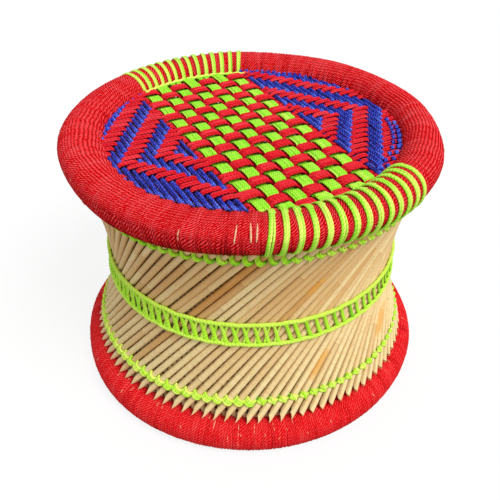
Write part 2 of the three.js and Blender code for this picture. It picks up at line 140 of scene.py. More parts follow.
class Surface:
    """Points, faces and paint of one piece."""

    def __init__(self):
        self.points, self.tints, self.marks = [], [], []
        self.faces, self.uvs = {3: [], 4: []}, {3: [], 4: []}
        self.count = 0

    def add(self, points, tint, mark=0.0):
        """Adds points with their paint, and gives the number of the first one."""
        start = self.count
        points = np.asarray(points, float).reshape(-1, 3)
        self.points.append(points)
        for kept, paint in ((self.tints, tint), (self.marks, mark)):
            kept.append(np.broadcast_to(np.asarray(paint, float), (len(points),)))
        self.count += len(points)
        return start

    def join(self, corners, uvs=None):
        """Adds faces: for each of their 3 or 4 corners the point numbers, and the u and v there."""
        kind = len(corners)
        faces = np.stack(np.broadcast_arrays(*corners), axis=-1)
        plain = 0.0 * faces[..., 0]
        pairs = [np.stack([u + plain, v + plain], -1) for u, v in uvs or [(0.0, 0.0)] * kind]
        self.faces[kind].append(faces.reshape(-1, kind))
        self.uvs[kind].append(np.stack(pairs, axis=-2).reshape(-1, 2))

    def join_rings(self, here, there, k, sides, u0, u1):
        """Adds the faces between rings of points that start at here and there, for the sides k."""
        after = (k + 1) % sides
        v0, v1 = k / sides, (k + 1) / sides
        self.join((here + k, here + after, there + after, there + k),
                  ((u0, v0), (u0, v1), (u1, v1), (u1, v0)))

    def make(self, name, material, slot, *replaced, waist=False):
        """Makes the piece, which follows the handmade waist where it is part of the body."""
        points = np.concatenate(self.points)
        points = (drawn_in(points) if waist else points) * MM
        mesh = bpy.data.meshes.new(name)
        kinds = [n for n in (3, 4) if self.faces[n]]
        faces = {n: np.concatenate(self.faces[n]) for n in kinds}
        sizes = np.concatenate([np.full(len(faces[n]), n) for n in kinds])
        corners = np.concatenate([faces[n].ravel() for n in kinds])
        uvs = np.concatenate([np.concatenate(self.uvs[n]) for n in kinds])
        mesh.vertices.add(len(points))
        mesh.vertices.foreach_set("co", points.ravel())
        mesh.loops.add(len(corners))
        mesh.loops.foreach_set("vertex_index", corners.astype(np.int32))
        mesh.polygons.add(len(sizes))
        mesh.polygons.foreach_set("loop_start", (np.cumsum(sizes) - sizes).astype(np.int32))
        mesh.polygons.foreach_set("use_smooth", np.full(len(sizes), True))
        layer = mesh.uv_layers.new(name="UVMap")
        layer.data.foreach_set("uv", uvs.ravel().astype(np.float32))
        for key, values in (("tint", self.tints), ("mark", self.marks)):
            attribute = mesh.attributes.new(key, "FLOAT", "POINT")
            attribute.data.foreach_set("value", np.concatenate(values).astype(np.float32))
        mesh.update()
        mesh.validate()
        mesh.materials.append(material)
        piece = bpy.data.objects.new(name, mesh)
        bpy.context.scene.collection.objects.link(piece)
        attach(piece, "root")
        if replaced:
            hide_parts(*replaced)
        return piece


# How far the end of a strand bulges, as a share of its half thickness
BULGE_SHARE = 0.6


def add_tubes(surface, paths, ups, half_width, half_height, tint, sides=8, closed=False,
              ply=0.0, ply_pitch=12.0):
    """Strands along paths (S x N x 3). ups points to the broad face, and ply swells it in a twist."""
    count, length, _ = paths.shape
    if closed:
        tangent = unit(np.roll(paths, -1, axis=1) - np.roll(paths, 1, axis=1))
    else:
        tangent = unit(np.gradient(paths, axis=1))
    side = unit(np.cross(tangent, ups))
    up = np.cross(side, tangent)
    steps = np.linalg.norm(np.diff(paths, axis=1), axis=2)
    run = np.concatenate([np.zeros((count, 1)), np.cumsum(steps, axis=1)], axis=1)
    phi = np.arange(sides) * TAU / sides
    wide = np.broadcast_to(half_width, (count, length))[..., None, None]
    high = np.broadcast_to(half_height, (count, length))[..., None, None]
    swell = 1 + ply * np.cos(2 * (phi - TAU * run[..., None] / (2 * ply_pitch)))
    offset = wide * np.cos(phi)[:, None] * side[:, :, None] + high * np.sin(phi)[:, None] * up[:, :, None]
    rings = paths[:, :, None] + offset * swell[..., None]
    tints = np.broadcast_to(np.asarray(tint, float).reshape(count, -1)[..., None], (count, length, sides))
    start = surface.add(rings, tints.ravel())
    s, n, k = grid(count, length if closed else length - 1, sides)
    here = start + (s * length + n) * sides
    there = start + (s * length + (n + 1) % length) * sides
    ahead = run[s, np.minimum(n + 1, length - 1)]
    if closed:
        lap = np.linalg.norm(paths[:, 0] - paths[:, -1], axis=1)
        ahead = np.where(n == length - 1, (run[:, -1] + lap)[s], ahead)
    surface.join_rings(here, there, k, sides, run[s, n] * MM, ahead * MM)
    if closed:
        return
    s, k = grid(count, sides)
    for end, direction in ((0, -1.0), (length - 1, 1.0)):
        push = direction * BULGE_SHARE * np.minimum(wide, high)[:, end, 0]
        tip = surface.add(paths[:, end] + tangent[:, end] * push, tints[:, end, 0]) + s
        ring = start + (s * length + end) * sides
        first, second = ring + k, ring + (k + 1) % sides
        u = run[:, end][s] * MM
        surface.join((first, second, tip) if end else (second, first, tip),
                     ((u, k / sides), (u, (k + 1) / sides), (u, (k + 0.5) / sides)))


def add_strand(surface, path, up, half_width, half_height, tint, **form):
    """One strand along a path (N x 3). up is one direction, or one for each step."""
    add_tubes(surface, path[None], (up + 0 * path)[None], half_width, half_height, tint, **form)


def add_ring(surface, radius, around, z, half_width, half_height, tint, **form):
    """One strand that goes round the stool's axis and closes on itself."""
    add_strand(surface, polar(radius, around, z), polar(1.0, around, 0.0),
               half_width, half_height, tint, closed=True, **form)


# Materials

class Graph:
    """Nodes of one material, or of the world."""

    def __init__(self, owner, shader="Principled BSDF"):
        owner.use_nodes = True
        self.owner, self.tree = owner, owner.node_tree
        self.shader = self.tree.nodes[shader]

    def node(self, kind, inputs=(), **settings):
        made = self.tree.nodes.new(kind)
        for key, value in settings.items():
            setattr(made, key, value)
        for key, value in dict(inputs).items():
            self.put(made.inputs[key], value)
        return made

    def put(self, socket, value):
        if isinstance(value, bpy.types.NodeSocket):
            self.tree.links.new(value, socket)
        else:
            socket.default_value = value

    def math(self, operation, a, b=0.0, c=0.0):
        made = self.node("ShaderNodeMath", operation=operation)
        for socket, value in zip(made.inputs, (a, b, c)):
            self.put(socket, value)
        return made.outputs[0]

    def times(self, a, b):
        return self.math("MULTIPLY", a, b)

    def mix(self, share, a, b):
        made = self.node("ShaderNodeMix", data_type="RGBA", blend_type="MIX")
        self.put(made.inputs[0], share)
        self.put(made.inputs[6], a)
        self.put(made.inputs[7], b)
        return made.outputs[2]

    def between(self, value, low, high, out_low=0.0, out_high=1.0):
        """A smooth step from one output to the other, as value goes from low to high."""
        made = self.node("ShaderNodeMapRange", {"Value": value, "From Min": low, "From Max": high,
                                                "To Min": out_low, "To Max": out_high})
        made.interpolation_type = "SMOOTHSTEP"
        return made.outputs[0]

    def attribute(self, name):
        return self.node("ShaderNodeAttribute", attribute_name=name).outputs["Fac"]

    def uv(self):
        """Metres along a strand, and the share of the way round it."""
        split = self.node("ShaderNodeSeparateXYZ")
        self.put(split.inputs[0], self.node("ShaderNodeUVMap", uv_map="UVMap").outputs[0])
        return split.outputs[0], split.outputs[1]

    def vector(self, x, y, z=0.0):
        made = self.node("ShaderNodeCombineXYZ")
        for socket, value in zip(made.inputs, (x, y, z)):
            self.put(socket, value)
        return made.outputs[0]

    def noise(self, scale, vector=None, detail=2.0, rough=0.5):
        made = self.node("ShaderNodeTexNoise", {"Scale": scale, "Detail": detail, "Roughness": rough})
        if vector is None:
            vector = self.node("ShaderNodeTexCoord").outputs["Object"]
        self.put(made.inputs["Vector"], vector)
        return made.outputs[0]

    def shade(self, **inputs):
        """Sets inputs of the shader, by their names with a line between the words."""
        for key, value in inputs.items():
            self.put(self.shader.inputs[key.replace("_", " ")], value)

    def finish(self, color, roughness, height, depth_mm, gloss=0.5):
        bump = self.node("ShaderNodeBump", {"Height": height, "Distance": depth_mm * MM, "Strength": 1.0})
        self.shade(Base_Color=color, Roughness=roughness, Specular_IOR_Level=gloss, Normal=bump.outputs[0])
        return self.owner


def srgb(red, green, blue):
    """A colour that is named by its 0 to 255 values."""
    def linear(value):
        value /= 255
        return value / 12.92 if value <= 0.04045 else ((value + 0.055) / 1.055) ** 2.4
    return (linear(red), linear(green), linear(blue), 1.0)


def cord_material(name, dark, base, light, depth_mm=0.2, groove_shade=0.3, painted_glints=0.25, gloss=0.2):
    """Cord of two twisted plies: slanting grooves darkened with painted shade, and painted highlights of
    uneven strength in dashes on the plies.
    """
    g = Graph(bpy.data.materials.new(name))
    u, v = g.uv()
    tint = g.attribute("tint")
    turns = g.math("MULTIPLY_ADD", u, 1 / (TWIST * MM), g.times(v, 2.0))
    twist = g.math("SINE", g.times(g.math("ADD", turns, g.attribute("mark")), TAU))
    fibre = g.noise(1.0, g.vector(g.times(u, 700.0), g.times(v, 9.0)), 2.0, 0.6)
    dash = g.noise(1.0, g.vector(g.times(u, 260.0), g.times(v, 3.1)), 1.0, 0.5)
    patch = g.noise(70.0, None, 3.0, 0.6)
    shade = g.math("ADD", g.times(tint, 0.5), g.times(g.math("SUBTRACT", patch, 0.5), 0.4))
    color = g.mix(g.between(shade, -0.55, 0.0), dark, base)
    color = g.mix(g.times(g.between(shade, 0.0, 0.6), 0.85), color, light)
    # Painted shade in the grooves and painted highlights fade where the cord is dark
    clear = g.between(shade, -0.45, -0.05)
    depth = g.math("MULTIPLY_ADD", clear, 0.85 * groove_shade, 0.15 * groove_shade)
    color = g.mix(g.times(g.between(twist, 0.0, -0.9), depth), color, dark)
    painted_light = g.times(g.between(dash, 0.38, 0.56), g.between(twist, 0.1, 0.95))
    color = g.mix(g.times(g.times(painted_light, clear), painted_glints), color, light)
    plies = g.times(twist, g.math("MULTIPLY_ADD", clear, 0.4, 0.2))
    rough = g.between(fibre, 0.3, 0.75, 0.66, 0.46)
    return g.finish(color, rough, g.math("MULTIPLY_ADD", fibre, 0.4, plies), depth_mm, gloss)


def reed_material(name):
    """Dry reed: long grain, darker joints, orange lengths, faint red stains, and painted shade along its
    flanks.
    """
    g = Graph(bpy.data.materials.new(name))
    u, v = g.uv()
    tint, mark = g.attribute("tint"), g.attribute("mark")
    along = g.vector(g.times(u, 14.0), g.times(v, 20.0), g.times(tint, 37.0))
    grain = g.noise(1.0, along, 4.0, 0.65)
    broad = g.noise(1.0, g.vector(g.times(u, 22.0), v, g.times(tint, 91.0)), 2.0, 0.5)
    # Darker along both flanks: painted shade between neighbouring reeds
    flank_shade = g.math("ABSOLUTE", g.math("SINE", g.times(v, TAU)))
    stain = g.noise(16.0, None, 2.0, 0.5)
    color = g.mix(g.between(tint, -1.0, 1.0), srgb(200, 133, 50), srgb(243, 220, 163))
    # What is laid over the colour, by how much at most, and from where to where it comes in
    for other, amount, value, low, high in (
            (srgb(224, 182, 114), 0.4, broad, 0.42, 0.72),
            (srgb(172, 116, 52), 0.5, grain, 0.5, 0.78),
            (srgb(246, 224, 168), 0.4, grain, 0.42, 0.2),
            (srgb(140, 92, 44), 0.3, flank_shade, 0.88, 1.0),
            (srgb(206, 120, 92), 0.35, stain, 0.66, 0.78),
            (srgb(112, 74, 38), 1.0, mark, 0.25, 1.0),
            (srgb(230, 164, 62), 0.7, mark, -0.3, -1.0)):
        color = g.mix(g.times(g.between(value, low, high), amount), color, other)
    return g.finish(color, g.between(grain, 0.2, 0.8, 0.38, 0.6), grain, 0.12, gloss=0.3)


def plain_fibre_material(name, dark, light, scale):
    """Grass bundles and split bamboo: streaks along the piece."""
    g = Graph(bpy.data.materials.new(name))
    streak = g.noise(scale, None, 5.0, 0.7)
    color = g.mix(g.between(streak, 0.3, 0.7), dark, light)
    return g.finish(color, g.between(streak, 0.2, 0.8, 0.9, 0.65), streak, 0.6)


# Each cord's dark colour is where its painted shade goes, and its light colour serves for a paler tone and
# for painted light and highlights
red = cord_material("red_cord", srgb(112, 0, 0), srgb(236, 14, 24), srgb(255, 92, 96),
                    depth_mm=0.35, groove_shade=0.9, painted_glints=0.85, gloss=0.02)
base_red = cord_material("base_red_cord", srgb(144, 0, 4), srgb(236, 24, 32), srgb(255, 92, 90),
                         depth_mm=0.3, groove_shade=0.55, painted_glints=0.6, gloss=0.03)
seat_red = cord_material("seat_red_cord", srgb(120, 0, 6), srgb(222, 20, 36), srgb(248, 80, 92),
                         groove_shade=0.3, painted_glints=0.3, gloss=0.08)
green = cord_material("green_cord", srgb(84, 182, 14), srgb(150, 238, 36), srgb(238, 250, 116),
                      groove_shade=0.25, painted_glints=0.45)
lime = cord_material("lime_cord", srgb(100, 186, 10), srgb(180, 246, 36), srgb(236, 252, 116),
                     groove_shade=0.2, painted_glints=0.35)
blue = cord_material("blue_cord", srgb(8, 4, 64), srgb(36, 48, 188), srgb(100, 130, 250),
                     depth_mm=0.3, groove_shade=0.45, painted_glints=0.6)
reed = reed_material("reed")
straw = plain_fibre_material("straw", srgb(222, 150, 112), srgb(250, 206, 168), 300.0)
bamboo = plain_fibre_material("split_bamboo", srgb(120, 84, 44), srgb(190, 148, 92), 60.0)
grass = plain_fibre_material("grass", srgb(120, 92, 48), srgb(206, 172, 108), 140.0)


# Wound rings

# Where the section of a ring is not a true ellipse: middle and spread of the place in degrees, and how
# much more the section reaches outward, inward, up and down there
RIM_PLACES = (
    (-142, 52, 0.0, 0.0, -12.5, 0.0), (-100, 40, 0.0, 0.0, -4.0, 0.0), (-150, 40, 0.0, 0.0, 0.0, 5.0),
    (-162, 25, 0.0, 0.0, 0.0, 4.0), (-174, 22, -3.5, 0.0, 0.0, 0.0), (165, 45, 0.0, 6.0, 0.0, 0.0),
    (128, 25, 0.0, 4.0, 0.0, 0.0), (115, 25, 0.0, 0.0, -3.0, 0.0), (45, 35, 0.0, 3.5, 0.0, 0.0),
    (0, 25, -2.5, 0.0, 0.0, 0.0), (-45, 14, 1.5, 0.0, 0.0, 0.0),
)
BASE_PLACES = ((18, 24, 6.0, 0.0, 3.5, 0.0), (-65, 25, -1.5, 0.0, 0.0, 0.0), (165, 22, -3.0, 0.0, 0.0, 0.0))


def section_halves(angle, half_w, half_h, places):
    """How far a ring's section reaches outward, inward, up and down at a ring angle."""
    halves = [half + 0 * angle for half in (half_w, half_w, half_h, half_h)]
    for middle, spread, *changes in places:
        apart = wrapped(angle - math.radians(middle))
        share = np.exp(-(apart / math.radians(spread)) ** 2)
        halves = [half + change * share for half, change in zip(halves, changes)]
    return halves


def ring_point(centre, halves, places, section, angle, rise):
    section, angle, rise = np.broadcast_arrays(section, angle, rise)
    outward, inward, up, down = section_halves(angle, *halves, places)
    wide = np.where(np.cos(section) > 0, outward, inward) + rise
    high = np.where(np.sin(section) > 0, up, down) + rise
    return polar(centre[0] + wide * np.cos(section), angle, centre[1] + high * np.sin(section))


def rim_point(section, angle, rise):
    return ring_point((RIM_R, RIM_Z), (RIM_HALF_W, RIM_HALF_H), RIM_PLACES, section, angle, rise)


def base_point(section, angle, rise):
    return ring_point((BASE_R, BASE_Z), (BASE_TUBE, BASE_TUBE), BASE_PLACES, section, angle, rise)


def off_ring(section, angle):
    """Directions away from a ring's core."""
    return polar(np.cos(section), angle, np.sin(section))


# Rise of one turn of the winding cord, from one groove to the next
TURN_PROFILE = np.array([-0.75, 0.1, 0.75, 1.0, 0.75, 0.1])


def wind_ring(name, node, place, material, turns, twists, columns, seed, crease, painted_shade_low, painted_light_top,
              painted_light_side, floor_z=None):
    """One cord wound round a ring: a skin whose ridges climb as one long helix."""
    per_turn = len(TURN_PROFILE)
    rows = turns * per_turn
    local = np.random.default_rng(seed)
    row = np.arange(rows)[:, None]
    column = np.arange(columns)[None, :]
    section = column * TAU / columns + np.zeros_like(row)
    angle = (row + per_turn * column / columns) * TAU / rows
    ridge = TURN_PROFILE[row % per_turn]
    turn = (row // per_turn + np.zeros_like(column)) % turns
    blend = column / columns

    def handed_on(values):
        """A value of each turn, passed on to the next turn where the section starts again."""
        return values[turn] * (1 - blend) + values[(turn + 1) % turns] * blend

    # Each turn's own rise and tint, and how far its twist has slipped
    lift = handed_on(local.normal(0, 0.12, turns))
    tint = handed_on(np.clip(local.normal(0, 0.2, turns), -0.4, 0.5))
    slip = handed_on(np.cumsum(local.normal(0, 0.08, turns)))
    wander = ripple(angle, section, ((20, 60, 2), (60, 130, 3)), 0.3 * TAU / turns, seed + 1)
    swell = ripple(angle, section, ((4, 9, 2),), 0.25, seed + 2)
    patches = ripple(angle, section, ((12, 40, 3), (40, 90, 4)), 0.1, seed + 4)
    inner = np.clip(-np.cos(section), 0, 1) ** 3
    folds = ripple(angle, section, ((60, 110, 1), (110, 190, 1)), crease, seed + 3) * inner
    out = 0.5 * ridge + lift + swell + folds - 0.2
    # Painted light and shade, beside each turn's own tone: paler turn tops, darker grooves and inner creases,
    # a darker low side, a paler top, and a paler side at 160 degrees that the sun lights least
    shaded = np.clip(-np.sin(section + 0.2), 0, 1)
    tint = tint + (0.4 - 0.1 * shaded) * ridge - 0.08 + 0.35 * folds + patches - painted_shade_low * shaded
    tint += painted_light_top * np.clip(np.sin(section), 0, 1) ** 2 + painted_light_side * np.cos(angle - math.radians(160))
    points = place(section, angle + wander, out)
    if floor_z is not None:
        points[..., 2] = np.maximum(points[..., 2], floor_z + 0.12 * (1 - ridge))
    surface = Surface()
    start = surface.add(points, tint.ravel(), slip.ravel())
    r, c = grid(rows, columns)
    # The last column joins the first one of the next turn
    on = (c + 1) // columns * per_turn
    across = (c + 1) % columns
    # The girth is a whole number of twists, so that the plies meet where a turn hands on to the next
    girth = twists * TWIST * MM
    u0, u1 = c / columns * girth, (c + 1) / columns * girth
    v0, v1 = -r / per_turn / 2, -(r + 1) / per_turn / 2
    surface.join((start + (r + 1) % rows * columns + c, start + (r + 1 + on) % rows * columns + across,
                  start + (r + on) % rows * columns + across, start + r * columns + c),
                 ((u0, v1), (u1, v1), (u1, v0), (u0, v0)))
    surface.make(name, material, "red_cord", node)


wind_ring("rim_cord", "rim_winding", rim_point, red, turns=450, twists=36, columns=84, seed=31,
          crease=0.9, painted_shade_low=1.5, painted_light_top=0.2, painted_light_side=0.0)
wind_ring("base_cord", "base_winding", base_point, base_red, turns=460, twists=32, columns=72, seed=47,
          crease=0.3, painted_shade_low=0.9, painted_light_top=0.0, painted_light_side=0.1, floor_z=0.0)


def add_bundle(name, place, node):
    """Grass inside a winding."""
    surface = Surface()
    rows, columns = 180, 28
    under_winding = -3.2
    r, c = grid(rows, columns)
    start = surface.add(place(c * TAU / columns, r * TAU / rows, under_winding), 0.0)
    here, there, across = start + r * columns, start + (r + 1) % rows * columns, (c + 1) % columns
    surface.join((here + c, there + c, there + across, here + across))
    surface.make(name, grass, "grass", node)


add_bundle("rim_core", rim_point, "rim_bundle")
add_bundle("base_core", base_point, "base_bundle")


def add_straws():
    """Pale stems of the bundle that show between the turns of the red cord."""
    surface = Surface()
    steps = np.linspace(-1, 1, 25)

    def stems(place, angles, middles, reaches, widths, lift=0.35):
        """Stems at ring angles, each round the section from its middle by its reach both ways."""
        count = len(angles)
        slant = rng.normal(0, 0.003, count)
        section = np.radians(middles)[:, None] + np.radians(reaches)[:, None] * steps
        turn = np.radians(angles)[:, None] + slant[:, None] * steps
        sunk = lift + 0.3 * rng.normal(0, 1, (count, len(steps)))
        paths = place(section, turn, np.clip(sunk, -0.5, 1.1))
        thin = np.asarray(widths)[:, None] * np.sqrt(np.clip(1 - steps ** 2, 0.05, 1))
        tint = rng.uniform(0.0, 0.8, count)
        add_tubes(surface, paths, off_ring(section, turn), thin, thin * 0.6, tint, sides=6)

    # Long stems at the front of the rim and of the base
    stems(rim_point, [-117.6, -116.1, -121.3, -135.1, -98.6], [38, 38, 32, 12, 20], [38, 34, 36, 22, 16],
          [1.1, 1.0, 0.8, 0.7, 0.6], lift=0.75)
    stems(base_point, [-120.8, -128.5, -116.0, -110.0, -124.0], [40, 70, 62, 66, 30], [38, 14, 18, 14, 16],
          [0.5, 0.5, 0.4, 0.4, 0.4])
    # Short ones all round
    for place, count, lowest, highest, longest in ((rim_point, 12, -60, 60, 9), (base_point, 44, 20, 95, 10)):
        stems(place, rng.uniform(-180, 180, count), rng.uniform(lowest, highest, count),
              rng.uniform(4, longest, count), [0.4] * count)
    surface.make("loose_straws", straw, "grass")


add_straws()


# Reeds

def layer_lines(foot_r, head_r, turn, hoop_z):
    """Foot and head of every reed of a layer. The reeds are spaced evenly at their hoop."""
    foot = polar(foot_r, 0.0, FOOT_Z)
    head = polar(head_r, turn, HEAD_Z)
    at = foot + (head - foot) * (hoop_z - FOOT_Z) / (HEAD_Z - FOOT_Z)
    first = np.pi / 2 + (np.arange(REEDS) + 0.5) * TAU / REEDS - math.atan2(at[1], at[0])
    return polar(foot_r, first, FOOT_Z), polar(head_r, first + turn, HEAD_Z)


def square_to(centre, axis):
    """Directions square to reeds: away from the stool's axis, and aside."""
    flat = centre * np.array([1.0, 1.0, 0.0])
    outward = unit(flat - axis * np.sum(flat * axis, axis=-1, keepdims=True))
    return outward, np.cross(axis, outward)


def frames_at(foot, head, z):
    """Centre, axis, outward and sideways directions of every reed at a height."""
    centre = foot + (head - foot) * ((z - FOOT_Z) / (HEAD_Z - FOOT_Z))
    axis = unit(head - foot)
    return (centre, axis, *square_to(centre, axis))


outer_foot, outer_head = layer_lines(OUTER_FOOT_R, OUTER_HEAD_R, OUTER_TURN, WAIST_Z)
inner_foot, inner_head = layer_lines(INNER_FOOT_R, INNER_HEAD_R, INNER_TURN, UPPER_TIE_Z)


def outer_face_r(z):
    """How far out the outer layer reaches at a height."""
    centre = outer_foot[0] + (outer_head[0] - outer_foot[0]) * (z - FOOT_Z) / (HEAD_Z - FOOT_Z)
    return math.hypot(centre[0], centre[1]) + REED_RADIUS


# Reeds of the outer layer that are orange over a part of their length, from the foot up
ORANGE = {44: (208, 246), 53: (54, 106), 62: (52, 104), 63: (48, 92), 78: (120, 190)}
# Length of the cut foot of an outer reed, and how far under its foot's level an inner reed goes on
TIP_LENGTH = 21.0
INNER_OVERRUN = 9.0
# In degrees at the foot: the cut feet are slender outside the first part of the ring, blunt in the second
SLENDER_BESIDE = (-122, 150)
BLUNT_BETWEEN = (-104, 100)
# Places of a reed's rings beside each of its joints, and the room that a joint keeps from both ends
NEAR_JOINT = np.array([-2.4, -1.0, 0.0, 1.0, 2.4])
JOINT_ROOM = 8
# Both ends of a reed: which ring it is, the tint of its wall, and the depth, tint and mark of the hollow
# The hollows are darker than the walls: painted shade inside them
REED_ENDS = ((0, 0.6, 0.8, -0.3, 0.0), (-1, -0.2, -1.5, -1.0, 0.5))


def tip_reach(phi, slender, blunt):
    """How far down each side of a cut foot reaches: to a point on the outer side, less on the inner one."""
    facing, aside = np.cos(phi), np.sin(phi)
    if blunt:
        cut, inner_cut = 0.88 + 0.12 * aside, 0.95 - 0.3 * np.abs(facing)
    else:
        cut, inner_cut = 1 - (0.6 if slender else 0.4) * np.abs(aside), 0.5 * (1 - np.abs(facing))
    return TIP_LENGTH * np.where(facing > -0.01, cut, cut * inner_cut)


def add_reed_ends(surface, rings, axis):
    """The wall and the hollow of a reed at both ends."""
    k = np.arange(rings.shape[1])
    after = (k + 1) % len(k)
    for end, wall_tint, depth, tint, mark in REED_ENDS:
        middle = rings[end].mean(axis=0)
        inner = middle + (rings[end] - middle) * 0.45
        wall = surface.add(np.concatenate([rings[end], inner]), wall_tint)
        hollow = surface.add(inner.mean(axis=0) + depth * axis, tint, mark)
        bore = wall + len(k)
        order = 1 if end else -1
        surface.join((wall + k, wall + after, bore + after, bore + k)[::order])
        surface.join((bore + k, bore + after, hollow)[::order])


def add_reeds(name, node, foot, head, pointed, stations, sides):
    """Reeds with joints, a slight bow and taper, blunt heads, and cut points at the foot."""
    surface = Surface()
    axis = unit(head - foot)
    length = np.linalg.norm(head - foot, axis=1)
    middle = (foot + head) / 2
    outward, sideways = square_to(middle, axis)
    phi = np.arange(sides) * TAU / sides
    foot_angle = ring_degrees(np.arctan2(foot[:, 1], foot[:, 0]))
    for i in range(REEDS):
        slender = pointed and not SLENDER_BESIDE[0] < foot_angle[i] < SLENDER_BESIDE[1]
        blunt = pointed and BLUNT_BETWEEN[0] < foot_angle[i] < BLUNT_BETWEEN[1]
        start = TIP_LENGTH if pointed else -INNER_OVERRUN
        end = length[i] + (rng.uniform(-3.0, 0.5) if pointed else 0.0)
        joints = np.cumsum(rng.uniform(70, 150, 5)) + rng.uniform(-60, 20)
        joints = joints[(joints > start + JOINT_ROOM) & (joints < end - JOINT_ROOM)]
        near = (joints[:, None] + NEAR_JOINT).ravel()
        s = np.unique(np.concatenate([np.linspace(start, end, stations), near]))

        # Girth and marks: a swelling and a brown line at each joint, painted shade on the inner reeds' feet,
        # orange lengths
        girth = REED_RADIUS * rng.normal(0.975, 0.02) * (1 + 0.035 * (0.5 - s / end))
        ring, paint = np.zeros_like(s), np.zeros_like(s)
        for joint in joints:
            ring += 0.05 * np.exp(-((s - joint) / 1.3) ** 2)
            paint += rng.uniform(0.2, 0.75) * np.exp(-((s - joint) / 0.8) ** 2)
        # The inner reeds' feet, seen between the outer reeds' points, get painted shade
        if not pointed:
            paint = np.maximum(paint, 0.75 * (s < 45))
        low, high = ORANGE.get(i, (0, 0)) if pointed else (0, 0)
        mark = np.clip(paint, 0, 1) - ((s > low) & (s < high) & (paint < 0.2))
        girth = girth * (1 + ring) * (np.interp(s, [TIP_LENGTH, 44], [0.9, 1.0]) if slender else 1.0)

        # The reed's own bow, aside and outward. The inner ones stay straighter.
        bow = rng.normal(0, 0.55) * np.sin(np.pi * s / end) + rng.normal(0, 0.22) * np.sin(TAU * s / end)
        lift = rng.normal(0, 0.25) * np.sin(np.pi * s / end) + rng.normal(0, 0.12)
        if not pointed:
            bow, lift = 0.0 * bow, 0.4 * lift
        centre = foot[i] + axis[i] * s[:, None] + sideways[i] * bow[:, None] + outward[i] * lift[:, None]
        offset = np.cos(phi)[:, None] * outward[i] + np.sin(phi)[:, None] * sideways[i]
        rings = centre[:, None] + girth[:, None, None] * offset

        # Tint: each reed its own, a step at each joint, and painted light and shade: paler towards the light
        # and the foot
        toward_light = math.cos(math.atan2(middle[i, 1], middle[i, 0]) - math.radians(-40))
        own_tint = np.clip(rng.normal(0.31 + 0.03 * toward_light, 0.26), -1.2, 1.2)
        step_tint = rng.normal(0, 0.16, len(joints) + 1)[np.searchsorted(joints, s)]
        tint = own_tint + step_tint + np.interp(s, [20, 120, 220], [0.6, 0.25, -0.15])
        if pointed:
            reach = tip_reach(phi, slender, blunt)
            narrowing = (0.04 * reach / TIP_LENGTH)[:, None] * girth[0] * offset
            tip = rings[0] - axis[i] * reach[:, None] - narrowing
            rings = np.concatenate([[tip, (tip + rings[0]) / 2], rings])
            # The cut points paler still: painted light over their shade
            tint = np.concatenate([[own_tint + 0.85] * 2, tint])
            mark = np.concatenate([[0.0] * 2, mark])
            s = np.concatenate([[0.0, TIP_LENGTH / 2], s])
        begin = surface.add(rings, np.repeat(tint, sides), np.repeat(mark, sides))
        n, k = grid(len(s) - 1, sides)
        # Every reed has its own stretch of u, so that no two have the same grain
        own_u = 400.0 * i
        here = begin + n * sides
        surface.join_rings(here, here + sides, k, sides, (s[n] + own_u) * MM, (s[n + 1] + own_u) * MM)
        add_reed_ends(surface, rings, axis[i])
    surface.make(name, reed, "reed", node, waist=True)


add_reeds("reeds_outside", "outer_reeds", outer_foot, outer_head, True, stations=14, sides=12)
add_reeds("reeds_inside", "inner_reeds", inner_foot, inner_head, False, stations=6, sides=8)


def add_hoops():
    """Split-bamboo strips between the two layers."""
    surface = Surface()
    around = np.linspace(0, TAU, 160, endpoint=False)
    for z in (LOWER_TIE_Z, WAIST_Z, UPPER_TIE_Z):
        radius = outer_face_r(z) - 2 * REED_RADIUS - 1.4
        add_ring(surface, radius, around, z + 0.5 * np.sin(5 * around), 3.4, 1.5, 0.0, sides=10)
    surface.make("hoops", bamboo, "bamboo", "lower_hoop", waist=True)


add_hoops()


# Ties and the waist band

def add_wraps(surface, z, which, offsets, rise, slant, width, thick, span, shade, sag=0.0, painted_shade_along=0.0):
    """Turns of cord over the outer side of each reed of a list, as far round it as span says."""
    centre, axis, outward, sideways = frames_at(outer_foot[which], outer_head[which], z)
    t = np.linspace(-1, 1, 13)
    round_it = np.radians(span) * t
    for offset in offsets:
        jitter = rng.normal(0, 0.25, (len(which), 1))
        lean = slant * (1 + rng.normal(0, 0.12, (len(which), 1)))
        along = offset + jitter + lean * t + sag * (1 - t ** 2)
        out = REED_RADIUS + rise
        core = centre[:, None] + axis[:, None] * along[..., None]
        paths = (core + out * np.cos(round_it)[None, :, None] * outward[:, None]
                 + out * np.sin(round_it)[None, :, None] * sideways[:, None])
        # Each turn is paler at its start and darker at its end by the given amount: painted light and shade
        # round the reed
        tint = shade + rng.normal(0, 0.3, (len(which), 1)) - painted_shade_along * t
        add_tubes(surface, paths, unit(paths - core), width, thick, tint)


def reeds_by_side(z, first, last):
    """Reeds that pass through a part of the ring at a height, the others, and every reed's angle there."""
    centre = frames_at(outer_foot, outer_head, z)[0]
    angles = ring_degrees(np.arctan2(centre[:, 1], centre[:, 0]))
    inside = (angles > first) & (angles < last)
    return np.flatnonzero(inside), np.flatnonzero(~inside), angles


# The cord behind each row of ties dips in once for each reed, and is darkened with painted shade
TIE_AROUND = np.linspace(0, TAU, 400, endpoint=False)
TIE_CORE = 1.3


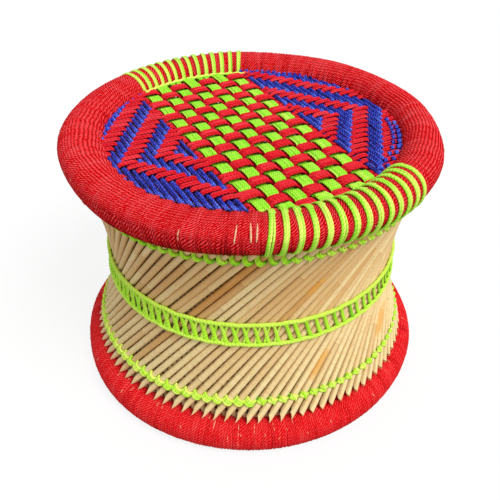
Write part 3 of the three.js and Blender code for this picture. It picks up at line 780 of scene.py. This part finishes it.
def add_lower_ties():
    surface = Surface()
    knotted, chain, angles = reeds_by_side(LOWER_TIE_Z, -117, 70)
    small, knots = knotted[angles[knotted] > -58], knotted[angles[knotted] < -58]
    for which, offsets, look in (
            (small, (-1.2, 1.2), dict(rise=0.9, slant=1.0, width=1.5, thick=1.1, span=58, shade=0.3)),
            (small, (0.0,), dict(rise=1.6, slant=-2.6, width=1.3, thick=0.9, span=40, shade=0.5)),
            (chain, (-3.0, -0.2, 2.6), dict(rise=1.1, slant=1.0, width=1.9, thick=1.5, span=92, shade=0.8,
                                            sag=-1.6)),
            (knots, (-1.6, 1.6), dict(rise=1.1, slant=1.0, width=1.9, thick=1.4, span=62, shade=0.5)),
            (knots, (0.0,), dict(rise=2.0, slant=-3.4, width=1.6, thick=1.1, span=46, shade=0.7))):
        add_wraps(surface, LOWER_TIE_Z, which, offsets, **look)
    for z, back in ((LOWER_TIE_Z - 1.4, 5.2), (LOWER_TIE_Z + 1.6, 5.0)):
        radius = outer_face_r(z) - back + 0.4 * np.sin(REEDS * TIE_AROUND)
        height = z + 0.8 * np.sin(REEDS * TIE_AROUND + 1.0)
        add_ring(surface, radius, TIE_AROUND, height, TIE_CORE, TIE_CORE, -0.9)
    surface.make("ties_low", lime, "green_cord", "lower_tie", waist=True)


def add_upper_ties():
    surface = Surface()
    knots, hooks, angles = reeds_by_side(UPPER_TIE_Z, -104, 60)
    # Where the rim hangs lowest, the ties lie higher
    apart = np.abs(ring_degrees(np.radians(angles[hooks] - 178)))
    height = UPPER_TIE_Z + 1.0 + 8.0 * np.exp(-(apart / 22) ** 2)[:, None]
    for z, which, offsets, look in (
            (height, hooks, (-1.3, 0.9), dict(rise=1.3, slant=-1.4, width=2.1, thick=1.7, span=78, shade=-0.2,
                                              sag=-1.6, painted_shade_along=0.7)),
            (UPPER_TIE_Z - 2, knots, (-1.1, 1.1), dict(rise=0.8, slant=1.0, width=1.5, thick=1.1, span=62,
                                                       shade=0.1)),
            (UPPER_TIE_Z - 2, knots, (0.0,), dict(rise=1.4, slant=-2.4, width=1.2, thick=0.9, span=45,
                                                  shade=0.2))):
        add_wraps(surface, z, which, offsets, **look)
    height = UPPER_TIE_Z + 0.8 * np.sin(REEDS * TIE_AROUND)
    add_ring(surface, outer_face_r(UPPER_TIE_Z) - 5.0, TIE_AROUND, height, TIE_CORE, TIE_CORE, -0.9)
    surface.make("ties_high", lime, "green_cord", "upper_tie", waist=True)


def add_waist_cord(name, z, node, seed):
    surface = Surface()
    around = np.linspace(0, TAU, 900, endpoint=False)
    wobble = ripple(around, 0 * around, ((3, 12, 0), (30, 60, 0)), 0.5, seed)
    radius = outer_face_r(z) + 1.7 + 0.15 * np.sin(REEDS * around)
    add_ring(surface, radius, around, z + wobble, 2.5, 2.1, 0.6, sides=12, ply=0.05, ply_pitch=7.0)
    surface.make(name, lime, "green_cord", node, waist=True)


# A strand of the lacing on its way down: height over the middle of the band, and how far it stands out
LACING_HEIGHTS = np.array([0.6, -0.8, -4.0, -9.0, -14.0, -19.0, -24.0, -27.2, -28.6]) + WAIST_HALF
LACING_OUTS = np.array([0.6, 2.0, 1.9, 1.3, 1.2, 1.3, 1.9, 2.0, 0.6])


def add_lacing():
    """Strands between the two waist cords: crosses over most of the ring, plain rungs on one side."""
    surface = Surface()
    step = TAU / REEDS
    angle = np.pi / 2 + np.arange(REEDS) * step
    degrees = ring_degrees(angle)
    rungs = (degrees > -108) & (degrees < 62)
    t = np.linspace(0, 1, 25)
    share = np.linspace(0, 1, len(LACING_HEIGHTS))
    z = WAIST_Z + np.interp(t, share, LACING_HEIGHTS)
    radius = np.array([outer_face_r(value) for value in z]) + np.interp(t, share, LACING_OUTS)

    def strands(angles, shift, width, thick, shade, drop=0.0):
        """Strands that are fuller by the share of drop at the lower end, and broader at the left side."""
        turn = angles[:, None] + (shift * (t - 0.5) + rng.normal(0, 0.05 * step, (len(angles), 1)))
        left = np.clip((58 - np.abs(ring_degrees(angles + math.radians(175)))) / 40, 0, 1)[:, None]
        wide = width * (1 + drop * (t - 0.4)) * (1 + 0.8 * left)
        tint = shade + rng.normal(0, 0.25, (len(angles), 1)) - 0.9 * drop * (t - 0.4) - 0.1 * left
        add_tubes(surface, polar(radius, turn, z), polar(1.0, turn, 0.0), wide, thick, tint)

    # The shift is the step along the ring from a strand's upper end to its lower one
    strands(angle[rungs], 1.0 * step, width=2.2, thick=1.2, shade=-0.25, drop=0.2)
    strands(angle[~rungs], -0.85 * step, width=1.3, thick=0.7, shade=0.5)
    strands(angle[~rungs] - 0.1 * step, 0.8 * step, width=1.9, thick=1.2, shade=0.3, drop=0.7)
    surface.make("lacing", lime, "green_cord", "waist_lacing", waist=True)


add_lower_ties()
add_upper_ties()
add_waist_cord("waist_low", WAIST_Z - WAIST_HALF, "waist_cord_lower", 5)
add_waist_cord("waist_high", WAIST_Z + WAIST_HALF, "waist_cord_upper", 6)
add_lacing()


# Green windings of the rim

def add_stripes(name, middle, node, spacing, half, tones, seed):
    """Three strands side by side that go round and round the rim with red between the turns."""
    local = np.random.default_rng(seed)
    surface = Surface()
    per_loop = 48
    steps = LOOPS * per_loop
    i = np.arange(steps + 1)
    section = -np.pi / 2 + i * TAU / per_loop
    angle = middle + (i / per_loop - LOOPS / 2) * LOOP_STEP

    def uneven(gap):
        """Values that change at random from one place to the next, a gap of steps further on."""
        return np.interp(i, np.arange(0, steps + gap + 1, gap), local.normal(0, 1, steps // gap + 2))

    # Painted light: strands paler where their section faces up and out, towards the light
    painted_light = 0.5 * np.exp(-((np.cos(section - np.radians(35)) - 1) / 0.2) ** 2)
    for k, tone in enumerate(tones):
        off = (k - 1) * spacing
        path = rim_point(section, angle + (off + 0.3 * uneven(12)) / RIM_R, 1.3 - 0.1 * abs(off))
        tint = tone + 0.35 * uneven(24) + painted_light
        add_strand(surface, path, off_ring(section, angle), half, 1.1, tint)
    surface.make(name, green, "green_cord", node)


add_stripes("stripes_front", FRONT_MIDDLE, "green_winding_front", 1.95, 1.2, (-0.1, 0.9, 0.3), 61)
add_stripes("stripes_back", BACK_MIDDLE, "green_winding_back", 1.75, 1.1, (0.1, 0.9, 1.2), 62)


# Seat

# How far the checks' strands rise, the half length over which they stay level, and a step along a strand
CHECK_RISE = 2.2
LEVEL_HALF = 5.5
SEAT_STEP = 1.6
# Each weft is two rows of three strands in the blue webs, this far to both sides of its middle
ROW_OFFSET = 5.1
# The row where the chevrons of the webs turn back
REVERSAL_ROW = 16
LEFT_WARPS, RIGHT_WARPS = 13, 14
LEFT_PITCH = (SEAT_R + WEB_LEFT_X) / LEFT_WARPS
RIGHT_PITCH = (SEAT_R - WEB_RIGHT_X) / RIGHT_WARPS


def warp_x(warp):
    return WARPS_X + (warp - (WARP_COUNT - 1) / 2) * WARP_PITCH


def weft_y(weft):
    return FIRST_WEFT_Y + weft * WEFT_PITCH


def warp_is_over(warp, weft):
    return (warp + weft) % 2 == 1


def row_y(row):
    return weft_y(row // 2) + (ROW_OFFSET if row % 2 else -ROW_OFFSET)


def web_warp_x(side, order):
    if side < 0:
        return WEB_LEFT_X - (order + 0.5) * LEFT_PITCH
    return WEB_RIGHT_X + (order + 0.5) * RIGHT_PITCH


def half_chord(offset):
    """Half the length of a strand that passes the middle of the seat at an offset."""
    return math.sqrt(max(RIM_INNER_R ** 2 - offset ** 2, 1.0))


def red_is_over(side, order, row):
    """Half wefts go over three blue warps and under three, a step further on each row."""
    x = web_warp_x(side, order)
    if side < 0 and row_y(row) < -half_chord(x) + 24:
        return False
    away = abs(row - REVERSAL_ROW)
    step = order + (round(0.92 * away) if side < 0 and row < REVERSAL_ROW else away)
    if side > 0 and row > REVERSAL_ROW and step > 12:
        step -= 1
    return step % 6 in (3, 4, 5)


def web_z(at, xs, overs, pitch, up, down, stretch):
    """Height of a strand of a web: an arch over each run of crossings that it covers."""
    covers = np.zeros(len(at))
    for x, over in zip(xs, overs):
        if over:
            covers[np.abs(at - x) < (0.5 + stretch) * pitch] = 1.0
    reach = max(int(round(0.55 * pitch / (at[1] - at[0]))), 1)
    padded = np.concatenate([np.full(reach, covers[0]), covers, np.full(reach, covers[-1])])
    window = np.hanning(2 * reach + 3)[1:-1]
    return down + (up - down) * np.convolve(padded, window / window.sum(), "valid")


def sway(at, end, count, amount):
    """How far a strand that runs from -end to end strays to the side."""
    return amount * np.interp(at, np.linspace(-end, end, count), rng.normal(0, 1, count))


def check_levels(places, rises):
    """Knots and levels of a strand that stays level at each crossing."""
    knots = [place + shift for place in places for shift in (-LEVEL_HALF, LEVEL_HALF)]
    return knots, [rise for rise in rises for _ in range(2)]


def add_green_warps():
    """Warps of six strands side by side."""
    strands = 6
    for warp in range(WARP_COUNT):
        surface = Surface()
        x = warp_x(warp)
        end = half_chord(x) - 1.0
        y = np.linspace(-end, end, 170)
        rises = [CHECK_RISE if warp_is_over(warp, weft) else -CHECK_RISE for weft in range(WEFT_COUNT)]
        z = eased(y, *check_levels([weft_y(weft) for weft in range(WEFT_COUNT)], rises))
        pinch = 1 - 0.05 * (1 - z / CHECK_RISE)
        for k in range(strands):
            off = (k - (strands - 1) / 2) * 2.38
            crown = 0.45 * math.cos(off / 7.5 * 1.3)
            path = np.stack([x + off * pinch + sway(y, end, 14, 0.2), y, SEAT_Z + z + crown], -1)
            # Painted shade: strands darker where they dip under the wefts and at the warp's sides
            tint = 0.1 + 0.25 * rng.normal() + 0.2 * z / CHECK_RISE - 0.1 * abs(off) / 5
            add_strand(surface, path, UP, 1.28, 0.95, tint)
        surface.make(f"warp_{warp + 1}", green, "green_cord", f"green_warp_{warp + 1}")


def past_checks(x, margin, over):
    return np.clip(np.maximum(WEB_LEFT_X + margin - x, x - WEB_RIGHT_X + margin) / over, 0, 1)


def add_red_wefts():
    """Six strands side by side over the checks, which part into two threes at the blue sides."""
    left_orders = range(LEFT_WARPS)[::-1]
    left_x = [web_warp_x(-1, order) for order in left_orders]
    right_x = [web_warp_x(1, order) for order in range(RIGHT_WARPS)]
    for weft in range(WEFT_COUNT):
        surface = Surface()
        centre = weft_y(weft)
        rises = [-CHECK_RISE if warp_is_over(warp, weft) else CHECK_RISE + 0.6 for warp in range(WARP_COUNT)]
        knots, levels = check_levels([warp_x(warp) for warp in range(WARP_COUNT)], rises)
        knots, levels = [WEB_LEFT_X + 2, *knots, WEB_RIGHT_X - 2], [2.0, *levels, 0.5]
        for half, row in ((-1, 2 * weft), (1, 2 * weft + 1)):
            left_over = [red_is_over(-1, order, row) for order in left_orders]
            right_over = [red_is_over(1, order, row) for order in range(RIGHT_WARPS)]
            for k in range(3):
                # Offsets from the weft's middle over the checks and in the webs
                near = half * (1.25 + 2.42 * k)
                far = half * (ROW_OFFSET + 2.35 * (k - 1))
                end = half_chord(min(max(centre + far, -RIM_INNER_R + 12), RIM_INNER_R - 12))
                x = np.arange(-end, end, SEAT_STEP)
                parting = past_checks(x, 8, 11)
                parting = parting * parting * (3 - 2 * parting)
                in_web = past_checks(x, 2, 6)
                web = np.where(x < 0, web_z(x, left_x, left_over, LEFT_PITCH, 3.0, -3.0, 0.13),
                               web_z(x, right_x, right_over, RIGHT_PITCH, 3.0, -3.0, 0.1))
                z = eased(x, knots, levels) * (1 - in_web) + web * in_web
                lifted = np.clip((z + 1.0) / 3.0, 0, 1)
                leaf = half * ROW_OFFSET + (far - half * ROW_OFFSET) * (0.35 + 0.65 * lifted)
                shift = near * (1 - parting) + leaf * parting
                y = centre + shift + sway(x, end, 20, 0.22)
                crown = 1.9 * math.cos(near / 7.0 * 1.45) * (1 - parting) + (1.1 if k == 1 else 0.0) * parting
                path = np.stack([x, y, SEAT_Z + z + crown * lifted], -1)
                # Painted shade: strands darker where they dip under the blue warps, and at the outer edges
                # over the checks
                outermost = (abs(near) > 5) * (1 - parting)
                tint = 0.05 + 0.25 * rng.normal() + 0.5 * (lifted - 0.6) - 0.3 * outermost
                add_strand(surface, path, UP, 1.3, 1.25, tint)
        number = f"{weft + 1:02d}"
        surface.make(f"weft_{number}", seat_red, "red_cord", f"red_weft_{number}")


def add_blue_web(name, side, count, node):
    """Blue warps of three strands, each warp crowned so that it reads as one rope."""
    surface = Surface()
    pitch = LEFT_PITCH if side < 0 else RIGHT_PITCH
    rows = range(2 * WEFT_COUNT)
    centres = [row_y(row) for row in rows]
    over_z, under_z = 1.9, -2.2
    for order in range(count):
        overs = [not red_is_over(side, order, row) for row in rows]
        for k in range(3):
            at = web_warp_x(side, order) + (k - 1) * (pitch / 3 - 0.62)
            end = half_chord(at)
            y = np.arange(-end, end + 1.0, SEAT_STEP)
            arch = web_z(y, centres, overs, WEFT_PITCH / 2, over_z, under_z, -0.06)
            z = arch + (1.3 if k == 1 else 0.0)
            path = np.stack([at + sway(y, end, 12, 0.25), y, SEAT_Z + z], -1)
            # Painted light and shade: each float paler at its near end and darker at its far end, the side
            # strands darker than the middle one, and strands darker where they dip
            climb = arch - np.interp(y - 9.0, y, arch, left=under_z)
            tint = 0.2 * rng.normal() + 0.1 * arch - (0.15 if k == 1 else 0.65) + 0.24 * climb
            add_strand(surface, path, UP, pitch / 6 - 0.05, 1.15, tint)
    surface.make(name, blue, "blue_cord", node)


def add_edging():
    """Twisted cord along the rim's inner edge at the back."""
    surface = Surface()
    half = LOOPS * LOOP_STEP / 2 + 0.01
    turn = BACK_MIDDLE + np.linspace(-half, half, 160)
    section = np.radians(170)
    wave = 0.5 * np.sin(turn * LOOPS * 2 / (2 * half) * np.pi)
    bend = np.clip((turn - BACK_MIDDLE) / half, 0, 1) ** 2
    path = rim_point(section, turn, 2.4 + 4.5 * bend) + UP * (wave + 3.2 * bend)[:, None]
    add_strand(surface, path, off_ring(section, turn), 2.0, 1.8, 1.2, sides=10, ply=0.14, ply_pitch=7.0)
    surface.make("edging", lime, "green_cord")


def add_warp_ends():
    """Strands of the green warps that gather in two bands and fan up to the edging at the back."""
    surface = Surface()
    t = np.linspace(0, 1, 14)
    start_y, start_z = 157.0, SEAT_Z + 1.6
    for warp in range(WARP_COUNT):
        for k in range(6):
            band = -1 if k < 3 else 1
            start_x = warp_x(warp) + (k - 2.5) * 2.3
            end_x = warp_x(warp) + band * 5.4 + (k % 3 - 1) * 1.9
            end_angle = math.acos(max(min(end_x / 180.5, 1), -1))
            tip = rim_point(np.radians(172), np.array([end_angle]), 1.0)[0]
            x = start_x + (tip[0] - start_x) * t
            y = start_y + (tip[1] - start_y) * t
            z = start_z + (tip[2] - start_z) * t ** 1.6 + 1.2 * np.sin(np.pi * t)
            up = np.array([0.0, -0.4, 1.0])
            add_strand(surface, np.stack([x, y, z], -1), up, 1.15, 0.9, 0.2 * rng.normal() - 0.2)
    surface.make("warp_ends", green, "green_cord")


def add_web_ends():
    """Blue ends of the web's warps that turn up at the rim, and blue strands between the wefts beside it."""
    surface = Surface()
    t = np.linspace(0, 1, 9)

    def ends(angles, low, high, width):
        """Short turns of blue cord on the rim's inner side, between two section angles in degrees."""
        for angle in angles:
            for off in (-0.5, 0.5):
                section = np.radians(low + (high - low) * t + rng.uniform(-3, 3))
                turn = angle + (off * width * 1.5 + rng.normal(0, 0.3)) / SEAT_R
                path = rim_point(section, turn, 0.9 + 0.9 * np.sin(np.pi * t))
                add_strand(surface, path, off_ring(section, turn), width, 1.2, 0.1 + 0.4 * rng.normal())

    ends(np.radians(np.linspace(66.5, 33.5, 14)), 176, 161, 1.5)
    ends([math.acos(max((web_warp_x(-1, order) + 1.0) / SEAT_R, -1)) for order in range(LEFT_WARPS - 1)],
         178, 168, 1.3)

    # Rows of short strands at the front right: how far inside the rim, shift along Y, and where they end
    first_y = -82 - 3.5 * WEFT_PITCH
    for inset, shift, last_y in ((3.5, 2.5, -68), (10.0, 3.5, -52)):
        for y in np.arange(first_y, last_y, WEFT_PITCH / 2) + shift:
            for off in (-1.1, 1.1):
                x = math.sqrt((SEAT_R + 2.5 - inset) ** 2 - y ** 2) + off
                z = SEAT_Z + 2.6 + 3.4 * np.sin(np.pi * t)
                path = np.stack([x + 0 * t, y + 4.6 * (t - 0.5), z], -1)
                add_strand(surface, path, UP, 1.25, 1.1, 0.1 + 0.4 * rng.normal())

    # One twisted cord along the rim at the back left
    turn = np.radians(np.linspace(117.5, 158, 60))
    section = np.radians(167)
    path = rim_point(section, turn, 0.9 + 0.3 * np.sin(90 * turn))
    add_strand(surface, path, off_ring(section, turn), 1.5, 1.2, -0.1, ply=0.14, ply_pitch=6.0)
    surface.make("web_ends", blue, "blue_cord")


# How the bands of the warps bend over the rim: section angle, way back along the ring, and rise over it
HOOK_BENDS = ((172, 1.5, 2.2), (158, 0.5, 2.0), (140, 0.0, 1.7), (122, 0.0, 1.5), (106, 0.0, 1.3))


def add_hooks():
    """At the front each warp parts in two bands, and each band bends to the right and over into a stripe."""
    surface = Surface()
    t = np.linspace(0, 1, 34)
    for warp in range(WARP_COUNT):
        for part in range(2):
            turn = FRONT_MIDDLE + (2 * warp + part + 0.62 - LOOPS / 2) * LOOP_STEP
            start_x = warp_x(warp) + (3.6 if part else -3.6)
            if warp_is_over(warp, 0):
                corners = [[start_x, -162.0, SEAT_Z + 2.6], [start_x + 0.5, -168.0, SEAT_Z + 3.6]]
            else:
                corners = [[start_x + 1.0, -174.5, SEAT_Z - 2.0]]
            for degrees, back, rise in HOOK_BENDS:
                corners.append(rim_point(np.radians(degrees), turn - math.radians(back), rise))
            corners = np.array(corners)
            knots = np.linspace(0, 1, len(corners))
            line = np.stack([np.interp(t, knots, corners[:, axis]) for axis in range(3)], -1)
            for _ in range(8):
                line[1:-1] = (line[:-2] + 2 * line[1:-1] + line[2:]) / 4
            core = rim_point(0.0, turn, 0.0) * [1, 1, 0] * RIM_R / (RIM_R + RIM_HALF_W)
            outward = unit(line - core - [0, 0, RIM_Z])
            face = unit(outward * t[:, None] + UP * (1 - t[:, None]))
            aside = unit(np.cross(unit(np.gradient(line, axis=0)), face))
            for k in range(3):
                path = line + aside * (k - 1) * 2.25
                add_strand(surface, path, face, 1.3, 1.05, 0.3 + 0.25 * rng.normal())
    surface.make("warp_hooks", green, "green_cord")


add_green_warps()
add_red_wefts()
add_blue_web("web_right", 1, RIGHT_WARPS, "blue_web_right")
add_blue_web("web_left", -1, LEFT_WARPS, "blue_web_left")
add_edging()
add_warp_ends()
add_web_ends()
add_hooks()


# Camera, light and floor

# The camera that the outlines of both rings give: lens and film in millimetres, place in metres, degrees
LENS, FILM = 46.08, 36.0
CAMERA_AT = (-0.3278, -0.6166, 0.6609)
CAMERA_TURN, CAMERA_DIP, CAMERA_ROLL = -28.1, 36.86, 0.469


def set_camera():
    camera = bpy.data.cameras.new("camera")
    camera.lens = LENS
    camera.sensor_width = FILM
    seen = bpy.data.objects.new("camera", camera)
    turn = Matrix.Rotation(math.radians(CAMERA_TURN), 4, "Z")
    tip = Matrix.Rotation(math.radians(90 - CAMERA_DIP), 4, "X")
    roll = Matrix.Rotation(math.radians(CAMERA_ROLL), 4, "Z")
    seen.matrix_world = Matrix.Translation(CAMERA_AT) @ turn @ tip @ roll
    bpy.context.scene.collection.objects.link(seen)
    bpy.context.scene.camera = seen


def set_light():
    """One soft sun, and a white world that is dimmer as a light than as it is seen."""
    sun = bpy.data.lights.new("key", "SUN")
    sun.energy = 2.35
    sun.angle = math.radians(28)
    key = bpy.data.objects.new("key", sun)
    key.rotation_euler = (math.radians(36), 0.0, math.radians(16))
    bpy.context.scene.collection.objects.link(key)
    world = bpy.data.worlds.new("world")
    bpy.context.scene.world = world
    g = Graph(world, "Background")
    rays = g.node("ShaderNodeLightPath").outputs
    seen = g.math("MAXIMUM", rays["Is Camera Ray"], rays["Is Glossy Ray"])
    g.shade(Color=(1.0, 1.0, 1.0, 1.0), Strength=g.between(seen, 0.0, 1.0, 0.58, 1.0))


def set_floor():
    mesh = bpy.data.meshes.new("floor")
    reach = 30.0
    mesh.from_pydata([(-reach, -reach, 0), (reach, -reach, 0), (reach, reach, 0), (-reach, reach, 0)],
                     [], [(0, 1, 2, 3)])
    floor = bpy.data.objects.new("floor", mesh)
    g = Graph(bpy.data.materials.new("floor"))
    g.shade(Base_Color=(0.5, 0.5, 0.5, 1.0), Roughness=0.9, Specular_IOR_Level=0.0)
    # Camera rays see a floor that is mostly white of itself outside the stool, with a faint shadow
    glow = g.node("ShaderNodeEmission", {"Color": (1.0, 1.0, 1.0, 1.0), "Strength": 1.18})
    middle = g.node("ShaderNodeVectorMath", operation="LENGTH")
    g.put(middle.inputs[0], g.node("ShaderNodeTexCoord").outputs["Object"])
    share = g.times(g.node("ShaderNodeLightPath").outputs["Is Camera Ray"],
                    g.between(middle.outputs["Value"], 0.195, 0.225, 0.0, 0.72))
    mixed = g.node("ShaderNodeMixShader")
    g.put(mixed.inputs[0], share)
    g.put(mixed.inputs[1], g.shader.outputs[0])
    g.put(mixed.inputs[2], glow.outputs[0])
    g.put(g.tree.nodes["Material Output"].inputs["Surface"], mixed.outputs[0])
    mesh.materials.append(g.owner)
    bpy.context.scene.collection.objects.link(floor)


set_camera()
set_light()
set_floor()
bpy.context.scene.view_settings.view_transform = "Standard"
